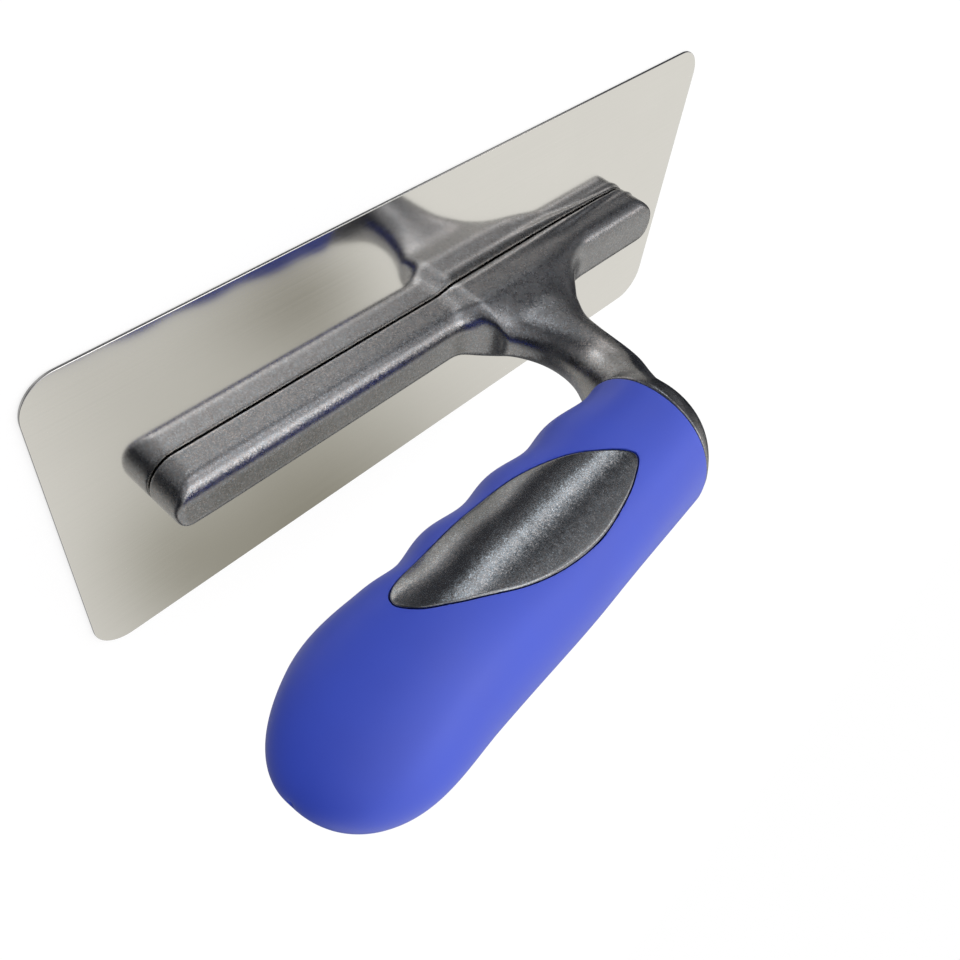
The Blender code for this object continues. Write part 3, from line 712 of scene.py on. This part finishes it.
def build_grip():
    around = 160
    straight, curved = ((60, 110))
    outer = handle_rows(0.0, JOINT_S, straight, curved, around)
    # small radius on the sleeve's toe-side lip
    lip = []
    for i in range(4):
        a = 0.5 * math.pi * i / 4
        lip.append(handle_ring(JOINT_S + 0.35 * (1 - math.sin(a)), 0.35 * (1 - math.cos(a)), around))
    inner = handle_rows(GRIP_WALL, JOINT_S, 20, 40, around, False)
    rows = list(reversed(lip[1:])) + [handle_ring(JOINT_S + 0.35, 0.0, around)] + outer[1:]
    verts = np.concatenate(rows + [AXIS_ORIGIN[None] + AXIS_U * HANDLE_END_S])
    verts = verts - gate_mark(verts)[:, None] * AXIS_U
    n_out = len(rows)
    faces = tube_faces(n_out, around)
    tip = n_out * around
    base = (n_out - 1) * around
    faces += [(base + i, base + (i + 1) % around, tip) for i in range(around)]
    off = tip + 1
    in_verts = np.concatenate(inner + [AXIS_ORIGIN[None] + AXIS_U * (HANDLE_END_S - GRIP_WALL)])
    n_in = len(inner)
    faces += [tuple(off + v for v in reversed(q)) for q in tube_faces(n_in, around)]
    base = off + (n_in - 1) * around
    tip2 = off + n_in * around
    faces += [(base + (i + 1) % around, base + i, tip2) for i in range(around)]
    faces += [(i, off + i, off + (i + 1) % around, (i + 1) % around) for i in range(around)]
    obj = make_mesh("grip_sleeve", np.concatenate([verts, in_verts]), faces, rubber)
    fix_normals(obj)
    # windows for the inlays
    for side, sign in (("near", 1), ("far", -1)):
        line = leaf_outline(0.0)
        rings = [handle_point(line[:, 0], line[:, 1], np.full(len(line), sign * y)) for y in (4.0, 40.0)]
        cut = make_mesh("window_" + side, np.concatenate(rings), tube_faces(2, len(line), True, True), rubber)
        fix_normals(cut)
        mod = obj.modifiers.new("Window", 'BOOLEAN')
        mod.operation, mod.object, mod.solver = 'DIFFERENCE', cut, 'EXACT'
        dg = bpy.context.evaluated_depsgraph_get()
        mesh = bpy.data.meshes.new_from_object(obj.evaluated_get(dg))
        obj.modifiers.clear()
        old = obj.data
        obj.data = mesh
        bpy.data.meshes.remove(old)
        bpy.data.objects.remove(cut)
    obj.data.materials.clear()
    obj.data.materials.append(rubber)
    mesh = obj.data
    n = len(mesh.vertices)
    co = np.zeros(n * 3)
    mesh.vertices.foreach_get("co", co)
    p = co.reshape(-1, 3) / MM
    s, w, y = to_handle(p)
    level = handle_level(s, w, y)
    # ease the window's rim: a small radius where the sleeve meets the inlay
    line = leaf_outline(0.0)
    nxt = np.roll(line, -1, 0)
    near = np.full(n, 99.0)
    maybe = np.where((level > 0.985) & (s > 15) & (s < 98) & (np.abs(w) < 19))[0]
    for a, b in zip(line, nxt):
        d = b - a
        t = np.clip(((s[maybe] - a[0]) * d[0] + (w[maybe] - a[1]) * d[1]) / (d @ d), 0, 1)
        dist = np.hypot(s[maybe] - a[0] - t * d[0], w[maybe] - a[1] - t * d[1])
        near[maybe] = np.minimum(near[maybe], dist)
    rim = near < 0.03
    normal = handle_normal(p)
    p[rim] -= normal[rim] * 0.22
    mesh.vertices.foreach_set("co", (p * MM).ravel())
    mesh.update()
    mesh.shade_smooth()
    # shading normals: the true form outside, plain face normals in the walls
    outside = (level > 0.985) & (gate_mark(p) < 0.002) & (s > JOINT_S + 0.5)
    loops = np.zeros(len(mesh.loops), np.int64)
    mesh.loops.foreach_get("vertex_index", loops)
    vn = np.zeros(n * 3)
    mesh.vertices.foreach_get("normal", vn)
    vn = vn.reshape(-1, 3)
    custom = vn[loops].copy()
    for poly in mesh.polygons:
        idx = range(poly.loop_start, poly.loop_start + poly.loop_total)
        face_out = all(level[loops[i]] > 0.985 for i in idx)
        fn = np.array(poly.normal)
        for i in idx:
            v = loops[i]
            if face_out and outside[v] and fn @ normal[v] > 0.5:
                custom[i] = normal[v]
            elif not face_out and rim[v]:
                custom[i] = fn
    mesh.normals_split_custom_set(custom.tolist())
    return obj


def build_inlay(name, sign):
    line = leaf_outline(GAP)
    around = len(line)
    centre = np.array([56.0, -1.0])
    ray = line - centre
    reach = np.linalg.norm(ray, axis=1)
    edge = 0.7
    steps = [i / 22 for i in range(1, 22)] + [0.968, 0.978, 0.986, 0.993, 0.998, 1.0]
    rows, verts = [], []

    def skin(k, base_inset, rounded):
        q = centre + ray * k
        dist = (1 - k) * reach
        drop = edge * (1 - np.sqrt(np.clip(1 - (1 - np.clip(dist / edge, 0, 1)) ** 2, 0, 1)))
        y = side_y(q[:, 0], q[:, 1], base_inset, grooves=not base_inset)
        if rounded:
            crown = 0.30 * (1 - k ** 2)
            y = y + crown - 0.75 * drop
        return handle_point(q[:, 0], q[:, 1], sign * y)

    mid_s, mid_w = np.array([centre[0]]), np.array([centre[1]])
    verts.append(handle_point(mid_s, mid_w, sign * (side_y(mid_s, mid_w) + 0.30)))
    for k in steps:
        verts.append(skin(k, 0.0, True))
    # side wall down to the core side
    for depth in (0.5, 1.0):
        top = side_y(line[:, 0], line[:, 1]) - 0.75 * edge
        low = side_y(line[:, 0], line[:, 1], GRIP_WALL, False)
        verts.append(handle_point(line[:, 0], line[:, 1], sign * (top + (low - top) * depth)))
    for k in (0.75, 0.5, 0.25):
        verts.append(skin(k, GRIP_WALL, False))
    verts.append(handle_point(mid_s, mid_w, sign * side_y(mid_s, mid_w, GRIP_WALL, False)))
    rings = len(steps) + 2 + 3
    faces = []
    for r in range(rings - 1):
        a, b = 1 + r * around, 1 + (r + 1) * around
        faces += [(a + i, a + (i + 1) % around, b + (i + 1) % around, b + i) for i in range(around)]
    faces += [(0, 1 + (i + 1) % around, 1 + i) for i in range(around)]
    last, tip = 1 + (rings - 1) * around, 1 + rings * around
    faces += [(last + i, last + (i + 1) % around, tip) for i in range(around)]
    obj = make_mesh(name, np.concatenate(verts), faces, inlay_coat)
    fix_normals(obj)
    obj.data.set_sharp_from_angle(angle=math.radians(50))
    return obj


blade = build_blade()
shank = build_shank()
grip = build_grip()
inlays = [build_inlay("inlay_leaf_near", 1), build_inlay("inlay_leaf_far", -1)]

for obj, node, slot in ((blade, "blade", "blade_steel"), (shank, "shank", "gunmetal"),
                        (grip, "grip", "blue_rubber"), (inlays[0], "inlay_near", "gunmetal_inlay"),
                        (inlays[1], "inlay_far", "gunmetal_inlay")):
    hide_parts(node)
    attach(obj, "root")

for name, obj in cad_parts.items():
    if name.startswith("weld_stud"):
        mat = stud_steel
    elif name in ("end_screw", "end_washer"):
        mat = zinc
    elif name == "handle_core":
        mat = plastic
    else:
        continue
    obj.data.materials.clear()
    obj.data.materials.append(mat)

# ------------------------------------------------------------------ stage
FLOOR_Z = -0.0003


def build_floor():
    mesh = bpy.data.meshes.new("floor")
    mesh.from_pydata([(-30, -30, FLOOR_Z), (30, -30, FLOOR_Z), (30, 30, FLOOR_Z), (-30, 30, FLOOR_Z)],
                     [], [(0, 1, 2, 3)])
    obj = bpy.data.objects.new("floor", mesh)
    bpy.context.scene.collection.objects.link(obj)
    mat = bpy.data.materials.new("pale_floor")
    mat.use_nodes = True
    mat.node_tree.nodes.clear()
    g = Nodes(mat.node_tree)
    out = g.add("ShaderNodeOutputMaterial")
    diff = g.add("ShaderNodeBsdfDiffuse", {"Color": (0.30, 0.30, 0.30, 1)})
    glow = g.add("ShaderNodeEmission", {"Color": (1, 1, 1, 1), "Strength": 0.72})
    both = g.add("ShaderNodeAddShader", {0: diff.outputs[0], 1: glow.outputs[0]})
    clear = g.add("ShaderNodeBsdfTransparent")
    back = g.add("ShaderNodeNewGeometry").outputs["Backfacing"]
    mix = g.add("ShaderNodeMixShader", {0: back, 1: both.outputs[0], 2: clear.outputs[0]})
    g.l.new(mix.outputs[0], out.inputs[0])
    mesh.materials.append(mat)
    obj.visible_glossy = False
    obj.visible_diffuse = False
    obj.visible_shadow = False
    return obj


def direction(az, el):
    a, e = math.radians(az), math.radians(el)
    return (math.cos(a) * math.cos(e), math.sin(a) * math.cos(e), math.sin(e))


# soft studio light all round: (azimuth, elevation, spread in degrees, colour, strength)
LOBES = [
    (60, 55, 8.2, (1.0, 0.985, 0.965), 2.4),    # soft box above the near side
    (52, 46, 8, (1.0, 0.985, 0.965), 1.3),
    (60, 74, 9, (1.0, 0.99, 0.97), 0.6),
    (84, 60, 12, (1.0, 0.99, 0.98), 0.8),
    (72, 20, 10, (1.0, 1.0, 1.0), 1.65),        # tall soft box beside the handle
    (63, -12, 5, (0.95, 0.98, 1.0), 2.3),
    (54, -18, 2.7, (0.96, 0.99, 1.0), 3.2),     # its bright lower edge
    (42, -28, 4.5, (1.0, 0.99, 0.97), 0.7),     # weaker reflections from below
    (28, 39, 4.5, (1.0, 0.96, 0.93), 3.2),      # small warm light beyond the toe
    (47, -54, 5, (1.0, 0.98, 0.96), 0.6),
    (20, 0, 9, (1.0, 1.0, 1.0), 0.30),
    (35, 24, 8, (1.0, 1.0, 1.0), 0.35),
    (105, 15, 16, (1.0, 1.0, 1.0), 0.33),
    (114, 42, 9, (1.0, 1.0, 1.0), 0.30),
    (-92, -46, 22, (1.0, 0.99, 0.98), 0.55),    # light from the floor, on the blade's underside
    (110, -52, 17, (1.0, 0.99, 0.98), 0.45),
    (-175, -40, 20, (1.0, 0.99, 0.98), 0.40),
    (-64.5, 26.5, 6.6, (1.0, 1.0, 1.02), -0.55),  # darker gaps between the screens
    (-53, 36.5, 2.5, (1.0, 1.0, 1.0), -0.42),
    (-58, 39, 2.4, (1.0, 1.0, 1.0), -0.16),
    (-66, 41.5, 4, (1.0, 1.0, 1.0), -0.14),
    (-72.5, 32, 2.6, (1.0, 1.0, 1.03), -0.20),
]
SCREEN = (0.80, 0.785, 0.735)      # white screens on the far side and overhead
SIDE_PANEL = (0.18, 0.18, 0.18)    # the panel on the near side
DARK = (0.026, 0.029, 0.038)       # the dark of the room
FILL, FILL_LEAN = 0.67, 0.78       # soft light on matte surfaces, and its lean


def build_world():
    world = bpy.data.worlds.new("studio")
    bpy.context.scene.world = world
    world.use_nodes = True
    world.node_tree.nodes.clear()
    g = Nodes(world.node_tree)
    out = g.add("ShaderNodeOutputWorld")
    d = g.vec("NORMALIZE", g.add("ShaderNodeTexCoord").outputs["Generated"])
    z = g.vec("DOT_PRODUCT", d, (0, 0, 1))

    def cone(az, el, outer, inner):
        dot = g.vec("DOT_PRODUCT", d, direction(az, el))
        return g.add("ShaderNodeMapRange", {0: dot, 1: math.cos(math.radians(outer)),
                                            2: math.cos(math.radians(inner)), 3: 0.0, 4: 1.0},
                     interpolation_type="SMOOTHSTEP").outputs[0]

    far = g.math("MULTIPLY", cone(-75, 35, 84, 52), g.range(z, 0.0, 0.2, 0.0, 1.0))
    screen = g.math("MAXIMUM", far, g.math("MULTIPLY", g.range(z, 0.82, 1.0, 0.0, 1.0), 0.8))
    total = g.vec("ADD", DARK, g.scale(SCREEN, screen))
    total = g.vec("ADD", total, g.scale(SIDE_PANEL, cone(97, 36, 43, 33)))
    for az, el, spread, colour, strength in LOBES:
        k = 1.0 / math.radians(spread) ** 2
        dot = g.vec("DOT_PRODUCT", d, direction(az, el))
        e = g.math("EXPONENT", g.math("MULTIPLY", g.math("SUBTRACT", dot, 1.0), k))
        total = g.vec("ADD", total, g.scale(tuple(c * strength for c in colour), e))
    total = g.vec("MAXIMUM", total, (0.02, 0.02, 0.02))
    light = g.add("ShaderNodeBackground", {"Color": total, "Strength": 1.0})
    lean_to = g.vec("DOT_PRODUCT", d, direction(30, 50))
    fill = g.add("ShaderNodeBackground", {"Color": (1.0, 0.99, 0.98, 1),
                                          "Strength": g.math("MULTIPLY_ADD", lean_to, FILL_LEAN, FILL)})
    plain = g.add("ShaderNodeBackground", {"Color": (1, 1, 1, 1), "Strength": 1.0})
    path = g.add("ShaderNodeLightPath")
    matte = g.add("ShaderNodeMixShader", {0: path.outputs["Is Diffuse Ray"], 1: light.outputs[0],
                                          2: fill.outputs[0]})
    mix2 = g.add("ShaderNodeMixShader", {0: path.outputs["Is Camera Ray"], 1: matte.outputs[0],
                                         2: plain.outputs[0]})
    g.l.new(mix2.outputs[0], out.inputs[0])
    world.cycles.sampling_method = 'NONE'


def build_camera():
    cam = bpy.data.cameras.new("camera")
    obj = bpy.data.objects.new("camera", cam)
    bpy.context.scene.collection.objects.link(obj)
    right, down, ahead = CAM_ROWS
    m = Matrix(((right[0], -down[0], -ahead[0], CAM_POS[0]),
                (right[1], -down[1], -ahead[1], CAM_POS[1]),
                (right[2], -down[2], -ahead[2], CAM_POS[2]),
                (0, 0, 0, 1)))
    obj.matrix_world = m
    cam.sensor_width = 36.0
    cam.lens = CAM_FOCAL * 36.0 / 960.0
    cam.shift_x = (480 - CAM_CENTRE[0]) / 960
    cam.shift_y = (CAM_CENTRE[1] - 480) / 960
    cam.clip_start, cam.clip_end = 0.01, 100.0
    cam.dof.use_dof = False
    bpy.context.scene.camera = obj


CAM_FOCAL = 1006.57
CAM_CENTRE = (485.26, 473.31)
CAM_POS = (-0.168605, 0.199478, 0.152745)
CAM_ROWS = ((0.679098, 0.107291, 0.726164),
            (-0.509919, -0.642654, 0.571821),
            (0.528023, -0.758607, -0.381715))

build_floor()
build_world()
build_camera()
bpy.context.scene.view_settings.view_transform = 'Standard'
bpy.context.scene.view_settings.look = 'None'

bpy.context.view_layer.update()
